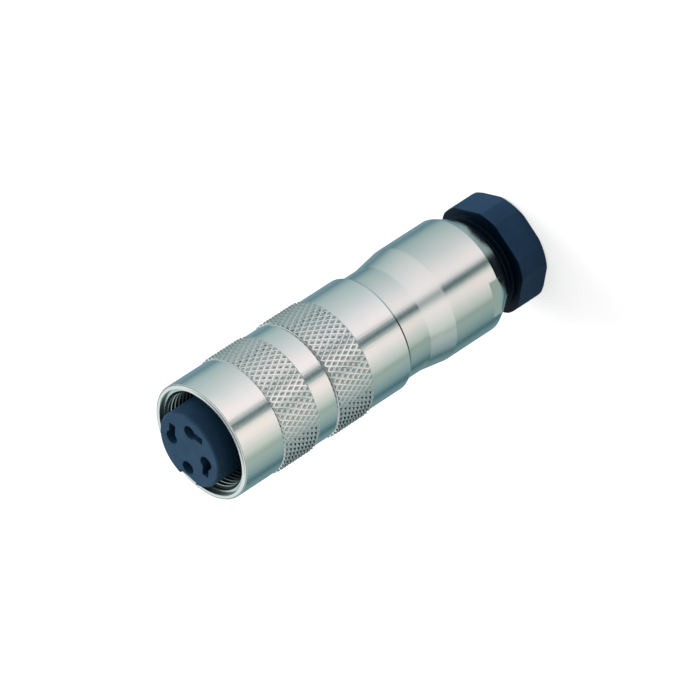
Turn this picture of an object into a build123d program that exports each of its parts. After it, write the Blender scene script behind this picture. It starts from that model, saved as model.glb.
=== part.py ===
from build123d import *
from math import cos, radians, sin, sqrt, tan
import os

# Shielded female cable connector with an M16 x 0.75 coupling ring and a cable gland.
# Millimetres. Z is the connector's axis: zero at the gland nut's rear face, up to the mating end.
# Heights below are lengths of the pieces, and every level is stacked up from them.

# Gland nut
NUT_HEAD_LENGTH = 5.25
NUT_ACROSS_FLATS = 16.5
NUT_CORNER_TRIM = 0.73
NUT_EDGE_CHAMFER = 0.9
NUT_EDGE_ANGLE = 40
NUT_FLAT_ANGLE = 30
NUT_THREAD_SHOWING = 2.45
NUT_THREAD_ENGAGED = 5.7
NUT_TIP_CHAMFER = 0.4
NUT_TIP_WALL = 1.1
NUT_CONE_DEPTH = 5.0
NUT_CONE_TAPER = 1.0
CABLE_BORE_RADIUS = 4.2
CABLE_MOUTH_FLARE = 0.9

# Clamping cage
CAGE_BORE_ROOM = 0.2
CAGE_COLLAR_LENGTH = 1.2
CAGE_FINGER_LENGTH = 4.55
CAGE_FINGER_COUNT = 8
CAGE_FINGER_WALL = 0.45
CAGE_SLOT_WIDTH = 0.8
CAGE_WEB = 0.5
CAGE_TOOTH_HEIGHT = 0.25
CAGE_TOOTH_PITCH = 1.1
CAGE_TOOTH_COUNT = 3
CAGE_CLEARANCE = 0.15

# Gland seal
SEAL_LENGTH = 5.1
SEAL_BORE_RADIUS = 3.3
SEAL_EDGE = 0.4

# Rear housing
TAPER_LENGTH = 2.4
REAR_LIP_WALL = 0.48
BARREL_LENGTH = 9.2
FLARE_LENGTH = 4.6
BARREL_STEP = 0.08
NECK_LENGTH = 4.5
NECK_WALL = 0.75
FLATS_DEPTH = 0.48
FLATS_LENGTH = 4.0
FLATS_ANGLE = 49.6
SEAL_CHAMBER_STEP = 0.9
LEDGE_THICKNESS = 1.2
LEDGE_BORE_ROOM = 0.2
GLAND_TRAVEL = 2.0
HOUSING_MOUTH_CHAMFER = 0.3

# Shield ring
SHIELD_RING_HEIGHT = 2.7
SHIELD_FLANGE_THICKNESS = 1.1
SHIELD_BORE_RADIUS = 4.4
SHIELD_HUB_BEARING = 0.5
SHIELD_HUB_FLARE = 0.5

# Front body
SLEEVE_LENGTH = 7.7
BODY_KNURL_LENGTH = 6.8
BODY_KNURL_HEIGHT = 0.3
SPIGOT_WALL = 0.7
SPIGOT_CHAMFER = 0.3
SEAT_DEPTH = 1.4
SEAT_WIDTH = 0.7
FRONT_TUBE_LENGTH = 9.0
FRONT_TUBE_WALL = 0.9
FRONT_TUBE_CHAMFER = 0.2

# Body O-ring, between the spigot's end and the housing's shoulder
BODY_O_RING_HEIGHT = 0.9
BODY_O_RING_WIDTH = 0.6
BODY_O_RING_EDGE = 0.2

# Coupling ring
MIDDLE_BAND_LENGTH = 3.9
MIDDLE_BAND_STEP = 0.03
RING_KNURL_LENGTH = 6.65
RING_KNURL_HEIGHT = 0.25
FRONT_BAND_LENGTH = 7.85
RIM_WALL = 0.75
RIM_ROUND = 0.4
MOUTH_STEP = 0.5
MOUTH_DEPTH = 0.63
LEAD_IN_LENGTH = 0.4
THREAD_MAJOR_RADIUS = 8.0
THREAD_DEPTH = 0.4
THREAD_RUNOUT = 0.2
RING_FLOAT = 0.55

# Diamond knurl of the ring and the body
KNURL_COUNT = 60
KNURL_ROW_LENGTH = 0.82
KNURL_DEPTH = 0.35
KNURL_RIM = 0.3

# Circlip and slip washer
CIRCLIP_SETBACK = 1.1
CIRCLIP_THICKNESS = 0.7
CIRCLIP_GROOVE_DEPTH = 0.4
CIRCLIP_OVERLAP = 0.05
CIRCLIP_ROOM = 0.2
CIRCLIP_GAP_WIDTH = 3.3
CIRCLIP_GAP_ANGLE = 90
WASHER_THICKNESS = 0.4
WASHER_WIDTH = 0.6

# Front seal
FRONT_SEAL_THICKNESS = 0.8
FRONT_SEAL_EDGE = 0.15

# Contact insert
INSERT_PROUD = 2.24
INSERT_RADIUS = 6.05
INSERT_STEP = 0.25
INSERT_FACE_EDGE = 0.25
INSERT_FLANGE_LENGTH = 3.0
O_RING_GROOVE_DEPTH = 0.8
O_RING_GROOVE_WIDTH = 1.1
KEYWAY_WIDTH = 3.3
KEYWAY_DEPTH = 1.0
DOG_WIDTH = 2.0
DOG_HEIGHT = 0.7

# Contacts and their ports
CONTACT_CIRCLE_RADIUS = 3.5
CONTACT_COUNT = 4
CONTACT_FIRST_ANGLE = 125
PORT_STEP = 0.08
PORT_DEPTH = 1.4
PORT_SLOT_WIDTH = 1.15
PORT_SLOT_REACH = 2.55
CONTACT_RADIUS = 0.95
SOCKET_RADIUS = 0.52
SOCKET_DEPTH = 6.5
SOCKET_SLIT_WIDTH = 0.25
SOCKET_SLIT_DEPTH = 5.0
CONTACT_COLLAR_STEP = 0.35
CONTACT_COLLAR_LENGTH = 0.75
CONTACT_FIN_LENGTH = 1.8
CONTACT_FIN_SETBACK = 0.6
CONTACT_FIN_END_ROOM = 0.85
CONTACT_FIN_SIDE_ROOM = 0.3
CONTACT_FIN_FLOOR_ROOM = 0.2
SOLDER_CUP_LENGTH = 3.4
SOLDER_CUP_WALL = 0.3
SOLDER_CUP_OPENING = 2.0

# Contact plate
PLATE_THICKNESS = 2.0
PLATE_PEG_RADIUS = 0.6
PLATE_PEG_LENGTH = 1.0
PLATE_PEG_CIRCLE_RADIUS = 4.6

# Distance shell
SPACER_WALL = 1.0
SPACER_LIP_LENGTH = 1.0
SPACER_LIP_DEPTH = 0.9
SPACER_PEG_RADIUS = 0.3
SPACER_PEG_LENGTH = 0.6
SPACER_PEG_PLACES = (0.25, 0.75)

# Clearances, and how far a cutting solid runs past what it cuts
FIT = 0.05
SEAT_GAP = 0.05
RING_REAR_GAP = 0.1
TRAVEL_ROOM = 0.1
OVERRUN = 1.0

# Radii, from the cable outwards at the gland
CAGE_BORE_RADIUS = CABLE_BORE_RADIUS + CAGE_BORE_ROOM
NUT_CONE_NARROW_RADIUS = CAGE_BORE_RADIUS + CAGE_FINGER_WALL + CAGE_CLEARANCE
NUT_CONE_WIDE_RADIUS = NUT_CONE_NARROW_RADIUS + NUT_CONE_TAPER
NUT_THREAD_RADIUS = NUT_CONE_WIDE_RADIUS + NUT_TIP_WALL + NUT_TIP_CHAMFER
NUT_CORNER_RADIUS = NUT_ACROSS_FLATS / 2 / cos(radians(30)) - NUT_CORNER_TRIM
HOUSING_THREAD_RADIUS = NUT_THREAD_RADIUS + FIT
TAPER_END_RADIUS = HOUSING_THREAD_RADIUS + REAR_LIP_WALL
SEAL_CHAMBER_RADIUS = HOUSING_THREAD_RADIUS - SEAL_CHAMBER_STEP
SEAL_RADIUS = SEAL_CHAMBER_RADIUS - FIT
CAGE_COLLAR_RADIUS = SEAL_CHAMBER_RADIUS - CAGE_CLEARANCE
LEDGE_BORE_RADIUS = SHIELD_BORE_RADIUS + LEDGE_BORE_ROOM
SHIELD_HUB_TIP_RADIUS = LEDGE_BORE_RADIUS + SHIELD_HUB_BEARING
SHIELD_HUB_RADIUS = SHIELD_HUB_TIP_RADIUS + SHIELD_HUB_FLARE

# Radii, from the insert outwards
INSERT_SHANK_RADIUS = INSERT_RADIUS + INSERT_STEP
INSERT_TUBE_BORE = INSERT_SHANK_RADIUS + FIT
FRONT_TUBE_RADIUS = INSERT_TUBE_BORE + FRONT_TUBE_WALL
BODY_BORE_RADIUS = INSERT_TUBE_BORE + SEAT_WIDTH
STACK_RADIUS = BODY_BORE_RADIUS - FIT
SPIGOT_RADIUS = BODY_BORE_RADIUS + SPIGOT_WALL
SPIGOT_BORE_RADIUS = SPIGOT_RADIUS + FIT
NECK_RADIUS = SPIGOT_BORE_RADIUS + NECK_WALL
RING_BORE_RADIUS = FRONT_TUBE_RADIUS + FIT
WASHER_OUTER_RADIUS = RING_BORE_RADIUS + WASHER_WIDTH
CIRCLIP_OUTER_RADIUS = WASHER_OUTER_RADIUS + CIRCLIP_OVERLAP
RELIEF_RADIUS = CIRCLIP_OUTER_RADIUS + CIRCLIP_ROOM

# Radii of the coupling ring, from its thread outwards, and of what continues its outline
THREAD_MINOR_RADIUS = THREAD_MAJOR_RADIUS - THREAD_DEPTH
MOUTH_RADIUS = THREAD_MAJOR_RADIUS + MOUTH_STEP
FRONT_BAND_RADIUS = MOUTH_RADIUS + RIM_WALL
MIDDLE_BAND_RADIUS = FRONT_BAND_RADIUS - MIDDLE_BAND_STEP
RING_KNURL_RADIUS = FRONT_BAND_RADIUS + RING_KNURL_HEIGHT
BODY_KNURL_RADIUS = RING_KNURL_RADIUS
SLEEVE_RADIUS = BODY_KNURL_RADIUS - BODY_KNURL_HEIGHT
BARREL_RADIUS = SLEEVE_RADIUS + BARREL_STEP

# Radii of the contacts
CONTACT_BORE_RADIUS = CONTACT_RADIUS + FIT
PORT_RADIUS = CONTACT_BORE_RADIUS + PORT_STEP
CONTACT_COLLAR_RADIUS = CONTACT_RADIUS + CONTACT_COLLAR_STEP
CONTACT_FIN_WIDTH = PORT_SLOT_WIDTH - 2 * CONTACT_FIN_SIDE_ROOM
CONTACT_FIN_REACH = PORT_SLOT_REACH - CONTACT_FIN_END_ROOM
SOLDER_CUP_RADIUS = CONTACT_RADIUS - SOLDER_CUP_WALL

# Levels along the axis, from the cable end
HOUSING_REAR = NUT_HEAD_LENGTH + NUT_THREAD_SHOWING
NUT_TIP = HOUSING_REAR + NUT_THREAD_ENGAGED
CAGE_BASE = NUT_TIP + SEAT_GAP
CAGE_TOP = CAGE_BASE + CAGE_COLLAR_LENGTH
SEAL_BASE = CAGE_TOP + SEAT_GAP
SEAL_TOP = SEAL_BASE + SEAL_LENGTH
LEDGE_TOP = SEAL_TOP + LEDGE_THICKNESS
SHIELD_TOP = LEDGE_TOP + SHIELD_RING_HEIGHT
HOUSING_THREAD_END = NUT_TIP + GLAND_TRAVEL + TRAVEL_ROOM
TAPER_TOP = HOUSING_REAR + TAPER_LENGTH
BARREL_TOP = TAPER_TOP + BARREL_LENGTH
FLARE_TOP = BARREL_TOP + FLARE_LENGTH
HOUSING_FRONT = FLARE_TOP + NECK_LENGTH
SPIGOT_END = SHIELD_TOP + BODY_O_RING_HEIGHT
SLEEVE_TOP = HOUSING_FRONT + SLEEVE_LENGTH
BODY_FACE = SLEEVE_TOP + BODY_KNURL_LENGTH
INSERT_SEAT = BODY_FACE - SEAT_DEPTH
FLANGE_BASE = INSERT_SEAT - INSERT_FLANGE_LENGTH
PLATE_BASE = FLANGE_BASE - PLATE_THICKNESS
TUBE_FACE = BODY_FACE + FRONT_TUBE_LENGTH
CIRCLIP_TOP = TUBE_FACE - CIRCLIP_SETBACK
CIRCLIP_BASE = CIRCLIP_TOP - CIRCLIP_THICKNESS
WASHER_TOP = CIRCLIP_BASE - SEAT_GAP - RING_FLOAT
WASHER_BASE = WASHER_TOP - WASHER_THICKNESS
RING_SHOULDER = WASHER_BASE - SEAT_GAP
RING_REAR = BODY_FACE + RING_REAR_GAP
MIDDLE_BAND_TOP = RING_REAR + MIDDLE_BAND_LENGTH
RING_KNURL_TOP = MIDDLE_BAND_TOP + RING_KNURL_LENGTH
RING_FACE = RING_KNURL_TOP + FRONT_BAND_LENGTH
MOUTH_FLOOR = RING_FACE - MOUTH_DEPTH
THREAD_TOP = MOUTH_FLOOR - LEAD_IN_LENGTH
FRONT_SEAL_TOP = TUBE_FACE + FRONT_SEAL_THICKNESS
THREAD_BASE = FRONT_SEAL_TOP + THREAD_RUNOUT
INSERT_FACE = RING_FACE + INSERT_PROUD
CONTACT_TOP = INSERT_FACE - PORT_DEPTH
CONTACT_BASE = PLATE_BASE - SOLDER_CUP_LENGTH
FIN_TOP = CONTACT_TOP - CONTACT_FIN_SETBACK
FIN_BASE = FIN_TOP - CONTACT_FIN_LENGTH


def turned(*corners, rounds=()):
    """A solid of revolution from an outline of (radius, height) corners.
    rounds lists (corner, radius) for the corners that are rounded."""
    outline = make_face(Polyline(*corners, close=True)).face()
    for corner, radius in rounds:
        vertex = outline.vertices().sort_by_distance((*corner, 0))[0]
        outline = outline.fillet_2d(radius, [vertex])
    return revolve(Plane.XZ * outline, Axis.Z)


def ring(inner, outer, base, top):
    """A plain ring between two radii and two heights."""
    return turned((inner, base), (outer, base), (outer, top), (inner, top))


def seal_ring(inner, outer, base, top, edge):
    """A rubber ring with its four edges cut back."""
    return turned(
        (inner + edge, base),
        (outer - edge, base),
        (outer, base + edge),
        (outer, top - edge),
        (outer - edge, top),
        (inner + edge, top),
        (inner, top - edge),
        (inner, base + edge),
    )


def knurled(radius, base, top):
    """A ring with a diamond knurl: pointed pyramids between two sets of crossing grooves.
    Round each row, crests take turns with the places where two grooves cross."""
    rows = 2 * round((top - base) / KNURL_ROW_LENGTH / 2)
    points = 2 * KNURL_COUNT

    def point(i, row):
        x, y = on_circle(radius - KNURL_DEPTH * ((i + row) % 2), i * 360 / points)
        return x, y, base + (top - base) * row / rows

    facets = [Face(Wire.make_polygon([point(i, row) for i in range(points)])) for row in (0, rows)]
    for row in range(rows):
        for i in range(points):
            corners = [point(i, row), point(i + 1, row), point(i + 1, row + 1), point(i, row + 1)]
            first = (i + row) % 2
            crossings = [corners[first - 3], corners[first - 1]]
            for crest in (corners[first], corners[first - 2]):
                facets.append(Face(Wire.make_polygon([*crossings, crest])))
    return Solid(Shell(facets)) - rod(knurl_core(radius), base, top)


def knurl_core(radius):
    """The radius inside a knurled ring, below its grooves."""
    return radius - KNURL_DEPTH - KNURL_RIM


def rod(radius, base, top, x=0, y=0):
    """A round rod that stands at x, y."""
    return Pos(x, y, base) * extrude(Circle(radius), top - base)


def bar(length, width, base, top, angle, start=0.0):
    """An upright bar that runs outwards from the axis at an angle, from start to start + length."""
    section = Pos(start + length / 2, 0) * Rectangle(length, width)
    return Rot(0, 0, angle) * Pos(0, 0, base) * extrude(section, top - base)


def on_circle(radius, angle):
    """The x and y of a point at an angle on a circle round the axis."""
    return radius * cos(radians(angle)), radius * sin(radians(angle))


def contact_angles():
    """The contacts' places round the axis. The first lies behind the keyway."""
    return [CONTACT_FIRST_ANGLE + i * 360 / CONTACT_COUNT for i in range(CONTACT_COUNT)]


def gland_nut():
    """Pressing screw: hexagonal head, threaded shank, cable bore and clamping cone."""
    reach = NUT_CORNER_RADIUS
    narrow = reach - NUT_EDGE_CHAMFER
    edge = NUT_EDGE_CHAMFER * tan(radians(NUT_EDGE_ANGLE))
    hexagon = RegularPolygon(NUT_ACROSS_FLATS / 2, 6, major_radius=False)
    prism = Rot(0, 0, NUT_FLAT_ANGLE - 30) * extrude(hexagon, NUT_HEAD_LENGTH)
    barrel = turned(
        (0, 0),
        (narrow, 0),
        (reach, edge),
        (reach, NUT_HEAD_LENGTH - edge),
        (narrow, NUT_HEAD_LENGTH),
        (0, NUT_HEAD_LENGTH),
    )
    shank = turned(
        (0, NUT_HEAD_LENGTH),
        (NUT_THREAD_RADIUS, NUT_HEAD_LENGTH),
        (NUT_THREAD_RADIUS, NUT_TIP - NUT_TIP_CHAMFER),
        (NUT_THREAD_RADIUS - NUT_TIP_CHAMFER, NUT_TIP),
        (0, NUT_TIP),
    )
    cone_floor = NUT_TIP - NUT_CONE_DEPTH
    step = NUT_CONE_NARROW_RADIUS - CABLE_BORE_RADIUS
    passage = turned(
        (0, 0),
        (CABLE_BORE_RADIUS + CABLE_MOUTH_FLARE, 0),
        (CABLE_BORE_RADIUS, CABLE_MOUTH_FLARE),
        (CABLE_BORE_RADIUS, cone_floor - step),
        (NUT_CONE_NARROW_RADIUS, cone_floor),
        (NUT_CONE_WIDE_RADIUS, NUT_TIP),
        (0, NUT_TIP),
    )
    return (prism & barrel) + shank - passage


def clamping_cage():
    """Pinch ring: a collar that pushes the seal, and slotted fingers in the nut's cone."""
    tip = CAGE_BASE - CAGE_FINGER_LENGTH
    slope = (NUT_CONE_WIDE_RADIUS - NUT_CONE_NARROW_RADIUS) / NUT_CONE_DEPTH
    root_radius = NUT_CONE_WIDE_RADIUS - CAGE_CLEARANCE
    tip_radius = root_radius - slope * (CAGE_FINGER_LENGTH - SEAT_GAP)
    teeth = []
    for i in range(CAGE_TOOTH_COUNT):
        start = tip + CAGE_TOOTH_HEIGHT + i * CAGE_TOOTH_PITCH
        teeth.append((CAGE_BORE_RADIUS, start))
        teeth.append((CAGE_BORE_RADIUS - CAGE_TOOTH_HEIGHT, start + CAGE_TOOTH_PITCH / 2))
    last = tip + CAGE_TOOTH_HEIGHT + CAGE_TOOTH_COUNT * CAGE_TOOTH_PITCH
    cage = turned(
        (CAGE_BORE_RADIUS, tip),
        *teeth,
        (CAGE_BORE_RADIUS, last),
        (CAGE_BORE_RADIUS, CAGE_TOP),
        (CAGE_COLLAR_RADIUS, CAGE_TOP),
        (CAGE_COLLAR_RADIUS, CAGE_BASE),
        (root_radius, CAGE_BASE),
        (tip_radius, tip),
    )
    for i in range(CAGE_FINGER_COUNT):
        angle = 360 / CAGE_FINGER_COUNT * i
        slot_top = CAGE_BASE - CAGE_WEB
        cage -= bar(NUT_CONE_WIDE_RADIUS, CAGE_SLOT_WIDTH, tip - OVERRUN, slot_top, angle)
    return cage


def gland_seal():
    """Rubber sleeve that the cage squeezes round the cable."""
    return seal_ring(SEAL_BORE_RADIUS, SEAL_RADIUS, SEAL_BASE, SEAL_TOP, SEAL_EDGE)


def rear_housing():
    """Cable housing: neck, flare, barrel and taper outside, stepped bores inside."""
    chamfer = HOUSING_MOUTH_CHAMFER
    housing = turned(
        (HOUSING_THREAD_RADIUS + chamfer, HOUSING_REAR),
        (TAPER_END_RADIUS, HOUSING_REAR),
        (BARREL_RADIUS, TAPER_TOP),
        (BARREL_RADIUS, BARREL_TOP),
        (NECK_RADIUS, FLARE_TOP),
        (NECK_RADIUS, HOUSING_FRONT),
        (SPIGOT_BORE_RADIUS, HOUSING_FRONT),
        (SPIGOT_BORE_RADIUS, SHIELD_TOP),
        (BODY_BORE_RADIUS, SHIELD_TOP),
        (BODY_BORE_RADIUS, LEDGE_TOP),
        (LEDGE_BORE_RADIUS, LEDGE_TOP),
        (LEDGE_BORE_RADIUS, SEAL_TOP),
        (SEAL_CHAMBER_RADIUS, SEAL_TOP),
        (SEAL_CHAMBER_RADIUS, HOUSING_THREAD_END),
        (HOUSING_THREAD_RADIUS, HOUSING_THREAD_END),
        (HOUSING_THREAD_RADIUS, HOUSING_REAR + chamfer),
    )
    for side in (0, 180):
        flat = bar(
            BARREL_RADIUS,
            2 * BARREL_RADIUS,
            HOUSING_REAR - OVERRUN,
            HOUSING_REAR + FLATS_LENGTH,
            FLATS_ANGLE + side,
            start=BARREL_RADIUS - FLATS_DEPTH,
        )
        housing -= flat
    return housing


def shield_ring():
    """Metal ring whose hub spreads the cable's braid onto the housing's ledge."""
    flange_base = SHIELD_TOP - SHIELD_FLANGE_THICKNESS
    return turned(
        (SHIELD_BORE_RADIUS, LEDGE_TOP),
        (SHIELD_HUB_TIP_RADIUS, LEDGE_TOP),
        (SHIELD_HUB_RADIUS, flange_base),
        (STACK_RADIUS, flange_base),
        (STACK_RADIUS, SHIELD_TOP),
        (SHIELD_BORE_RADIUS, SHIELD_TOP),
    )


def body_o_ring():
    """Seal between the spigot's end and the rear housing's inner shoulder."""
    inner = SPIGOT_RADIUS - BODY_O_RING_WIDTH
    return seal_ring(inner, SPIGOT_RADIUS, SHIELD_TOP, SPIGOT_END, BODY_O_RING_EDGE)


def spacer_half(side):
    """One half of the distance shell round the wires. side is 1 or -1.
    The first half has pegs on its edges, and the second has the holes for them."""
    lip_top = SHIELD_TOP + SPACER_LIP_LENGTH
    inner = STACK_RADIUS - SPACER_WALL
    shell = turned(
        (inner - SPACER_LIP_DEPTH, SHIELD_TOP),
        (STACK_RADIUS, SHIELD_TOP),
        (STACK_RADIUS, PLATE_BASE),
        (inner, PLATE_BASE),
        (inner, lip_top),
        (inner - SPACER_LIP_DEPTH, lip_top),
    )
    keep = Box(2 * STACK_RADIUS, 4 * STACK_RADIUS, PLATE_BASE - SHIELD_TOP + OVERRUN)
    half = shell & Pos(side * (STACK_RADIUS + FIT / 2), 0, (SHIELD_TOP + PLATE_BASE) / 2) * keep
    peg_y = STACK_RADIUS - SPACER_WALL / 2
    for y in (-peg_y, peg_y):
        for share in SPACER_PEG_PLACES:
            height = lip_top + (PLATE_BASE - lip_top) * share
            at = Pos(0, y, height) * Rot(0, 90, 0)
            if side > 0:
                half += at * Cylinder(SPACER_PEG_RADIUS, 2 * SPACER_PEG_LENGTH)
            else:
                half -= at * Cylinder(SPACER_PEG_RADIUS + FIT, 2 * (SPACER_PEG_LENGTH + FIT))
    return half


def plate_pegs(radius, top):
    """The pegs that key the contact plate to the insert, between two contacts."""
    pegs = []
    for side in (0, 180):
        x, y = on_circle(PLATE_PEG_CIRCLE_RADIUS, CONTACT_FIRST_ANGLE - 180 / CONTACT_COUNT + side)
        pegs.append(rod(radius, FLANGE_BASE, top, x, y))
    return pegs


def contact_plate():
    """Disc that traps the contacts' collars behind the insert."""
    plate = rod(STACK_RADIUS, PLATE_BASE, FLANGE_BASE)
    for peg in plate_pegs(PLATE_PEG_RADIUS, FLANGE_BASE + PLATE_PEG_LENGTH):
        plate += peg
    for angle in contact_angles():
        x, y = on_circle(CONTACT_CIRCLE_RADIUS, angle)
        plate -= rod(CONTACT_BORE_RADIUS, PLATE_BASE - OVERRUN, FLANGE_BASE + OVERRUN, x, y)
    return plate


def port_slot(angle):
    """A slot beside a contact port, along the contact circle's tangent."""
    x, y = on_circle(CONTACT_CIRCLE_RADIUS, angle)
    base = FIN_BASE - CONTACT_FIN_FLOOR_ROOM
    return Pos(x, y, 0) * bar(PORT_SLOT_REACH, PORT_SLOT_WIDTH, base, INSERT_FACE + OVERRUN, angle - 90)


def dogs(width, top):
    """Two bars on the flange's front face that stop the insert from turning."""
    inner = INSERT_SHANK_RADIUS - OVERRUN
    length = STACK_RADIUS - inner
    middle = CONTACT_FIRST_ANGLE - 90
    blocks = [bar(length, width, INSERT_SEAT - SEAT_GAP, top, middle + side, inner) for side in (0, 180)]
    return [block & rod(STACK_RADIUS, INSERT_SEAT - SEAT_GAP, top) for block in blocks]


def contact_insert():
    """Polarised insert: keyed boss, flange with an O-ring groove, and four contact ports."""
    groove_middle = (FLANGE_BASE + INSERT_SEAT) / 2
    groove_low = groove_middle - O_RING_GROOVE_WIDTH / 2
    groove_high = groove_middle + O_RING_GROOVE_WIDTH / 2
    groove_radius = STACK_RADIUS - O_RING_GROOVE_DEPTH
    insert = turned(
        (0, FLANGE_BASE),
        (STACK_RADIUS, FLANGE_BASE),
        (STACK_RADIUS, groove_low),
        (groove_radius, groove_low),
        (groove_radius, groove_high),
        (STACK_RADIUS, groove_high),
        (STACK_RADIUS, INSERT_SEAT),
        (INSERT_SHANK_RADIUS, INSERT_SEAT),
        (INSERT_SHANK_RADIUS, FRONT_SEAL_TOP),
        (INSERT_RADIUS, FRONT_SEAL_TOP),
        (INSERT_RADIUS, INSERT_FACE - INSERT_FACE_EDGE),
        (INSERT_RADIUS - INSERT_FACE_EDGE, INSERT_FACE),
        (0, INSERT_FACE),
    )
    for dog in dogs(DOG_WIDTH, INSERT_SEAT + DOG_HEIGHT):
        insert += dog
    insert -= bar(
        KEYWAY_DEPTH + OVERRUN,
        KEYWAY_WIDTH,
        FRONT_SEAL_TOP,
        INSERT_FACE + OVERRUN,
        CONTACT_FIRST_ANGLE,
        start=INSERT_RADIUS - KEYWAY_DEPTH,
    )
    collar_top = FLANGE_BASE + CONTACT_COLLAR_LENGTH + SEAT_GAP
    for i, angle in enumerate(contact_angles()):
        x, y = on_circle(CONTACT_CIRCLE_RADIUS, angle)
        insert -= rod(CONTACT_BORE_RADIUS, FLANGE_BASE - OVERRUN, INSERT_FACE + OVERRUN, x, y)
        insert -= rod(PORT_RADIUS, CONTACT_TOP, INSERT_FACE + OVERRUN, x, y)
        insert -= rod(CONTACT_COLLAR_RADIUS + FIT, FLANGE_BASE - OVERRUN, collar_top, x, y)
        if i:
            insert -= port_slot(angle)
    for hole in plate_pegs(PLATE_PEG_RADIUS + FIT, FLANGE_BASE + PLATE_PEG_LENGTH + SEAT_GAP):
        insert -= hole
    return insert


def contact(index):
    """Slotted socket with a collar and a solder cup. All but the first have a locating fin."""
    angle = contact_angles()[index]
    x, y = on_circle(CONTACT_CIRCLE_RADIUS, angle)
    pin = rod(CONTACT_RADIUS, CONTACT_BASE, CONTACT_TOP)
    pin += rod(CONTACT_COLLAR_RADIUS, FLANGE_BASE, FLANGE_BASE + CONTACT_COLLAR_LENGTH)
    if index:
        pin += bar(CONTACT_FIN_REACH, CONTACT_FIN_WIDTH, FIN_BASE, FIN_TOP, -90)
    pin -= rod(SOCKET_RADIUS, CONTACT_TOP - SOCKET_DEPTH, CONTACT_TOP + OVERRUN)
    slit_base = CONTACT_TOP - SOCKET_SLIT_DEPTH
    slit = Rectangle(2 * CONTACT_RADIUS + OVERRUN, SOCKET_SLIT_WIDTH)
    pin -= Pos(0, 0, slit_base) * extrude(slit, SOCKET_SLIT_DEPTH + OVERRUN)
    cup_top = CONTACT_BASE + SOLDER_CUP_LENGTH - SEAT_GAP
    pin -= rod(SOLDER_CUP_RADIUS, CONTACT_BASE - OVERRUN, cup_top)
    scoop = Box(2 * CONTACT_RADIUS, 2 * CONTACT_RADIUS + OVERRUN, SOLDER_CUP_OPENING)
    pin -= Pos(-CONTACT_RADIUS, 0, CONTACT_BASE + SOLDER_CUP_OPENING / 2) * scoop
    return Pos(x, y, 0) * Rot(0, 0, angle) * pin


def insert_o_ring():
    """Seal in the groove of the insert's flange. Its section is an even octagon."""
    inner = STACK_RADIUS - O_RING_GROOVE_DEPTH
    outer = BODY_BORE_RADIUS - FIT / 2
    size = outer - inner
    base = (FLANGE_BASE + INSERT_SEAT - size) / 2
    return seal_ring(inner, outer, base, base + size, size / (2 + sqrt(2)))


def front_body():
    """Knurled body: spigot, sleeve, knurled band and the tube that carries the coupling ring."""
    groove_radius = FRONT_TUBE_RADIUS - CIRCLIP_GROOVE_DEPTH
    core = knurl_core(BODY_KNURL_RADIUS)
    body = turned(
        (BODY_BORE_RADIUS, SPIGOT_END),
        (SPIGOT_RADIUS - SPIGOT_CHAMFER, SPIGOT_END),
        (SPIGOT_RADIUS, SPIGOT_END + SPIGOT_CHAMFER),
        (SPIGOT_RADIUS, HOUSING_FRONT),
        (SLEEVE_RADIUS, HOUSING_FRONT),
        (SLEEVE_RADIUS, SLEEVE_TOP),
        (core, SLEEVE_TOP),
        (core, BODY_FACE),
        (FRONT_TUBE_RADIUS, BODY_FACE),
        (FRONT_TUBE_RADIUS, CIRCLIP_BASE - FIT / 2),
        (groove_radius, CIRCLIP_BASE - FIT / 2),
        (groove_radius, CIRCLIP_TOP + FIT / 2),
        (FRONT_TUBE_RADIUS, CIRCLIP_TOP + FIT / 2),
        (FRONT_TUBE_RADIUS, TUBE_FACE - FRONT_TUBE_CHAMFER),
        (FRONT_TUBE_RADIUS - FRONT_TUBE_CHAMFER, TUBE_FACE),
        (INSERT_TUBE_BORE, TUBE_FACE),
        (INSERT_TUBE_BORE, INSERT_SEAT),
        (BODY_BORE_RADIUS, INSERT_SEAT),
    )
    for recess in dogs(DOG_WIDTH + 2 * FIT, INSERT_SEAT + DOG_HEIGHT + SEAT_GAP):
        body -= recess
    return body + knurled(BODY_KNURL_RADIUS, SLEEVE_TOP, BODY_FACE)


def front_seal():
    """Flat gasket on the tube's front face, where the mating shell seals."""
    outer = FRONT_TUBE_RADIUS - FIT
    return turned(
        (INSERT_TUBE_BORE, TUBE_FACE),
        (outer, TUBE_FACE),
        (outer, FRONT_SEAL_TOP - FRONT_SEAL_EDGE),
        (outer - FRONT_SEAL_EDGE, FRONT_SEAL_TOP),
        (INSERT_TUBE_BORE, FRONT_SEAL_TOP),
    )


def ring_circlip():
    """Open spring ring in the front tube's groove."""
    inner = FRONT_TUBE_RADIUS - CIRCLIP_GROOVE_DEPTH + FIT
    clip = ring(inner, CIRCLIP_OUTER_RADIUS, CIRCLIP_BASE, CIRCLIP_TOP)
    length = CIRCLIP_OUTER_RADIUS + OVERRUN
    return clip - bar(length, CIRCLIP_GAP_WIDTH, CIRCLIP_BASE, CIRCLIP_TOP, CIRCLIP_GAP_ANGLE)


def slip_washer():
    """Thin ring between the coupling ring's shoulder and the circlip."""
    return ring(RING_BORE_RADIUS, WASHER_OUTER_RADIUS, WASHER_BASE, WASHER_TOP)


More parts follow.
